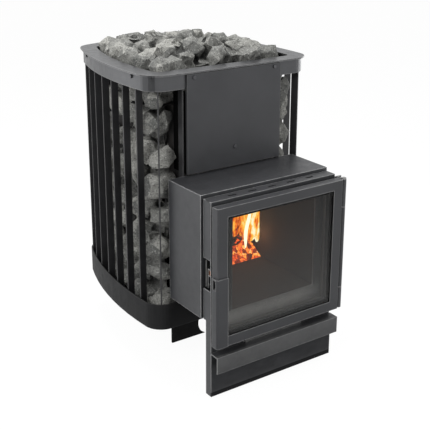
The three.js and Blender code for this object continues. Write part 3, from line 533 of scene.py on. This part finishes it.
rock_finish = stone_finish()
chipping = bpy.data.textures.new("chipping", "CLOUDS")
chipping.noise_scale = 0.024
chipping.noise_depth = 4
chip_depth = 0.007
stone_voxel = 0.0034
seam_depth = 0.010
corner_size, corner_tall, corner_line = 0.030, 1.25, 0.057
corner_places = ((0.198, 0.165), (0.193, 0.235), (0.199, 0.302), (0.194, 0.372), (0.199, 0.442),
                 (0.192, 0.512), (0.199, 0.578), (0.195, 0.645), (0.199, 0.712))
heap_size, heap_tall = 0.041, 0.85
heap_places = ((0.169, -0.112, 0.800), (0.173, -0.035, 0.803), (0.169, 0.045, 0.806),
               (0.158, 0.120, 0.804), (0.132, 0.190, 0.800), (0.130, 0.228, 0.802))
wedged = {
    "stones_left": [],
    "stones_right": [(x, corner_line - x, z, corner_size, corner_tall) for x, z in corner_places],
    "stones_top": [(side * x, y, z, heap_size, heap_tall)
                   for side in (-1, 1) for x, y, z in heap_places]}
for name, stones in wedged.items():
    bpy.ops.object.select_all(action="DESELECT")
    pile = nodes[name].copy()
    pile.data = nodes[name].data.copy()
    pile.name = "loose_" + name
    bpy.context.collection.objects.link(pile)
    pile.select_set(True)
    bpy.context.view_layer.objects.active = pile
    bpy.ops.object.mode_set(mode="EDIT")
    bpy.ops.mesh.select_all(action="SELECT")
    bpy.ops.mesh.remove_doubles(threshold=0.00002)
    bpy.ops.object.mode_set(mode="OBJECT")
    deepen_seams(pile.data, seam_depth)
    for stone in stones:
        wedge_stone(pile, *stone)
    worn = pile.modifiers.new("worn", "REMESH")
    worn.mode = "VOXEL"
    worn.voxel_size = stone_voxel
    bpy.ops.object.modifier_apply(modifier="worn")
    chipped = pile.modifiers.new("chipped", "DISPLACE")
    chipped.texture = chipping
    chipped.texture_coords = "LOCAL"
    chipped.strength = chip_depth
    chipped.mid_level = 1.0
    bpy.ops.object.modifier_apply(modifier="chipped")
    bpy.ops.object.shade_smooth_by_angle(angle=math.radians(34))
    pile.data.materials.clear()
    pile.data.materials.append(rock_finish)
    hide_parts(name)
    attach(pile, "stove")


# Logs: four pieces of split wood, half burnt, laid across the grate by hand. Their charred faces
# glow in the cracks.
rng = random.Random(41)


def split_log(name, start, end, radius):
    """A split log, round on one side and cut flat on the other, with an uneven surface."""
    axis = Vector(end) - Vector(start)
    bpy.ops.object.select_all(action="DESELECT")
    bpy.ops.mesh.primitive_cylinder_add(vertices=24, radius=radius, depth=axis.length)
    log = bpy.context.object
    log.name = name
    bpy.ops.object.mode_set(mode="EDIT")
    bpy.ops.mesh.select_all(action="SELECT")
    bpy.ops.mesh.bisect(plane_co=(0, radius * 0.25, 0), plane_no=(0.15, 1, 0),
                        use_fill=True, clear_outer=True)
    bpy.ops.mesh.select_all(action="SELECT")
    bpy.ops.mesh.bevel(offset=radius * 0.06, segments=2, affect="EDGES")
    bpy.ops.mesh.select_all(action="SELECT")
    bpy.ops.mesh.subdivide(number_cuts=3, fractal=radius * 0.5, seed=rng.randrange(99))
    bpy.ops.object.mode_set(mode="OBJECT")
    middle = (Vector(start) + Vector(end)) / 2
    turn = axis.to_track_quat("Z", "Y").to_matrix().to_4x4()
    log.data.transform(Matrix.Translation(middle) @ turn)
    return log


def embers(name, coldest, hottest):
    """Lumps that glow by themselves, with dark cracks between them."""
    lump_scale = 85.0
    finish = Finish(name)
    shade = finish.node("SeparateColor", None, {0: finish.cells(lump_scale, output=1)})
    crack = finish.cells(lump_scale, "DISTANCE_TO_EDGE")
    heat = finish.noise(34, 4, 0.6)
    glow = finish.span(shade * 0.45 + heat * 0.9, coldest, hottest)
    glow = glow * finish.span(crack, 0.01, 0.09, 0.25, 1.0)
    hot = finish.node("ValToRGB", {"stops": (
        (0.0, (0.004, 0.001, 0.0)), (0.22, (0.20, 0.010, 0.0)), (0.45, (1.0, 0.11, 0.008)),
        (0.72, (1.0, 0.36, 0.04)), (1.0, (1.0, 0.80, 0.40)))}, {0: glow})
    tint = finish.blend(heat, (0.010, 0.009, 0.008), (0.060, 0.052, 0.046))
    finish.owner.cycles.emission_sampling = "NONE"
    return finish.show(finish.shader(Base_Color=tint, Roughness=0.9, Emission_Color=hot,
                                     Emission_Strength=1.5,
                                     Normal=finish.bump(crack, 0.8, 0.004)))


charred = embers("charred_wood", 0.62, 1.15)
log_places = (((0.064, -0.128, 0.300), (-0.115, -0.118, 0.286), 0.026),
              ((0.120, -0.130, 0.296), (0.088, -0.010, 0.286), 0.021),
              ((0.122, -0.030, 0.272), (-0.120, -0.045, 0.270), 0.034),
              ((0.105, 0.055, 0.270), (-0.110, 0.050, 0.270), 0.040))
for i, (start, end, radius) in enumerate(log_places):
    log = split_log("log_%d" % (i + 1), start, end, radius)
    log.data.materials.append(charred)
    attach(log, "stove")

# Ember bed: a low, lumpy heap of glowing charcoal under the logs. It lies loose on the grate and
# slopes down at the firebox's mouth.
bed_width, bed_depth, bed_middle_y = 0.258, 0.2525, -0.02575
bed_front_y, bed_slope = -0.152, 0.045
bed_height, lump_height, bed_crust = 0.030, 0.014, 0.0008
bed_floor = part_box("grate")[1][2] + 0.0065
bpy.ops.object.select_all(action="DESELECT")
bpy.ops.mesh.primitive_grid_add(x_subdivisions=52, y_subdivisions=52, size=1)
bed = bpy.context.object
bed.name = "ember_bed"
for v in bed.data.vertices:
    x, y = v.co.x * bed_width, v.co.y * bed_depth + bed_middle_y
    slope = min(1.0, (y - bed_front_y) / bed_slope)
    ends = min(1.0, 6 * (1 - 2 * abs(v.co.x)))
    lump = lump_height * rng.random() * ends * min(1.0, 3 * slope)
    v.co = (x, y, bed_floor + bed_height * slope + lump)
crust = bed.modifiers.new("crust", "SOLIDIFY")
crust.thickness = bed_crust
bpy.ops.object.modifier_apply(modifier="crust")
bed.data.materials.append(embers("glowing_embers", 0.38, 0.98))
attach(bed, "stove")


# Flames: tongues of burning gas above the logs, ragged and drawn out upwards, with one white-hot
# tongue in front. They light the tunnel from the firebox's mouth.
def flame_light(name, cool, hot_end, power):
    """Licking fire, hottest at the right where the draught feeds it."""
    finish = Finish(name)
    drawn = finish.node("Mapping", None, {"Vector": finish.place(), "Scale": (1.0, 1.0, 0.34)})
    lick = finish.noise(62, 5, 0.6, drawn)
    side = finish.span(finish.axis(0), 0.02, 0.11, -0.10, 0.05)
    heat = finish.span(lick + side, cool, hot_end)
    hot = finish.node("ValToRGB", {"stops": (
        (0.0, (0.06, 0.005, 0.0)), (0.22, (0.55, 0.06, 0.002)), (0.42, (1.0, 0.26, 0.012)),
        (0.66, (1.0, 0.58, 0.07)), (0.90, (1.0, 0.92, 0.60)))}, {0: heat})
    finish.owner.cycles.emission_sampling = "NONE"
    return finish.show(finish.shader(Base_Color=(0, 0, 0, 1), Roughness=1.0, Emission_Color=hot,
                                     Emission_Strength=power, Specular_IOR_Level=0.0,
                                     Alpha=finish.span(heat, 0.02, 0.20)))


licking = flame_light("flame", 0.36, 0.70, 1.3)
white_hot = flame_light("flame_core", 0.10, 0.46, 1.7)
flame_side, flame_front = 0.131, -0.148
flames = ((0.106, -0.132, 0.272, 0.430, 0.024, -0.004, licking),
          (0.122, -0.138, 0.268, 0.410, 0.012, 0.002, licking),
          (0.078, -0.143, 0.262, 0.425, 0.006, 0.022, white_hot),
          (0.046, -0.136, 0.300, 0.425, 0.020, 0.010, licking),
          (0.024, -0.134, 0.286, 0.415, 0.018, -0.006, licking),
          (0.086, -0.128, 0.280, 0.415, 0.020, 0.008, licking),
          (-0.012, -0.130, 0.290, 0.420, 0.020, 0.008, licking),
          (-0.046, -0.124, 0.280, 0.410, 0.022, -0.008, licking),
          (-0.082, -0.130, 0.282, 0.425, 0.021, 0.006, licking),
          (-0.110, -0.120, 0.278, 0.400, 0.018, 0.004, licking))
for i, (x, y, low, high, wide, lean, look) in enumerate(flames):
    bpy.ops.object.select_all(action="DESELECT")
    bpy.ops.mesh.primitive_uv_sphere_add(segments=24, ring_count=24, radius=1)
    flame = bpy.context.object
    flame.name = "flame_%d" % (i + 1)
    for v in flame.data.vertices:
        rise = (v.co.z + 1) / 2
        pinch = (1 - rise) ** 0.4 * 1.3
        sway = lean * rise + 0.003 * math.sin(9 * rise + i)
        x_now = max(-flame_side, min(flame_side, x + v.co.x * wide * pinch + sway))
        y_now = max(flame_front, y + v.co.y * wide * 0.4 * pinch)
        v.co = (x_now, y_now, low + (high - low) * rise)
    bpy.ops.object.shade_smooth()
    flame.data.materials.append(look)
    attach(flame, "stove")

bpy.ops.object.light_add(type="POINT", location=(0.103, -0.157, 0.305))
glow_lamp = bpy.context.object
glow_lamp.name = "fire_glow"
glow_lamp.data.color = (1.0, 0.36, 0.12)
glow_lamp.data.energy = 0.30
glow_lamp.data.shadow_soft_size = 0.03
glow_lamp.visible_camera = False
glow_lamp.visible_glossy = False
